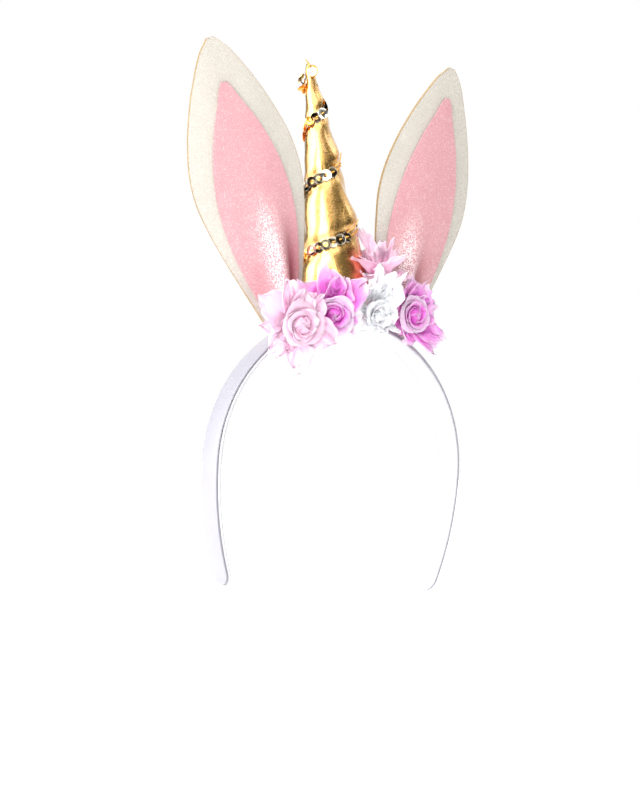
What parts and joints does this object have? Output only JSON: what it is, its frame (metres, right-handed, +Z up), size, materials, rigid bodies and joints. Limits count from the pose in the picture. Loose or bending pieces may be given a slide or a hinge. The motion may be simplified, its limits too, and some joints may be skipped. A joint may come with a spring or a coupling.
{
  "type": "unicorn horn headband with ears and roses",
  "caption": "Costume headband with a stuffed gold horn wound with sequins, glitter-felt ears and cloth roses at the horn's foot.",
  "frame": {"origin": "underside of the band at its crown, where it sits on the head", "axes": "+Z up out of the crown, the wearer faces -Y, the wearer's right is -X, the band lies in the plane Y = 0"},
  "size_m": [0.1719, 0.0664, 0.2691],
  "materials": {
    "band_plastic": "smooth white",
    "ribbon_satin": "pale lavender satin",
    "horn_lame": "gold foil cloth over stuffing",
    "sequins": "mirror-bright dark gold",
    "ear_felt": "cream felt with silver glitter",
    "ear_pink": "pink felt with fine glitter",
    "rose_pink": "pale pink silk cloth",
    "rose_lilac": "lilac silk cloth",
    "rose_white": "white silk cloth"
  },
  "bodies": {
    "root": {"band": "band_plastic", "ribbon": "ribbon_satin", "horn": "horn_lame", "sequin_string": "sequins", "ear_right": "ear_felt", "ear_right_inner": "ear_pink", "ear_left": "ear_felt", "ear_left_inner": "ear_pink", "rose_pink_right": "rose_pink", "rose_lilac_right": "rose_lilac", "rose_pink_top": "rose_pink", "rose_white": "rose_white", "rose_lilac_left": "rose_lilac"}
  },
  "joints": []
}
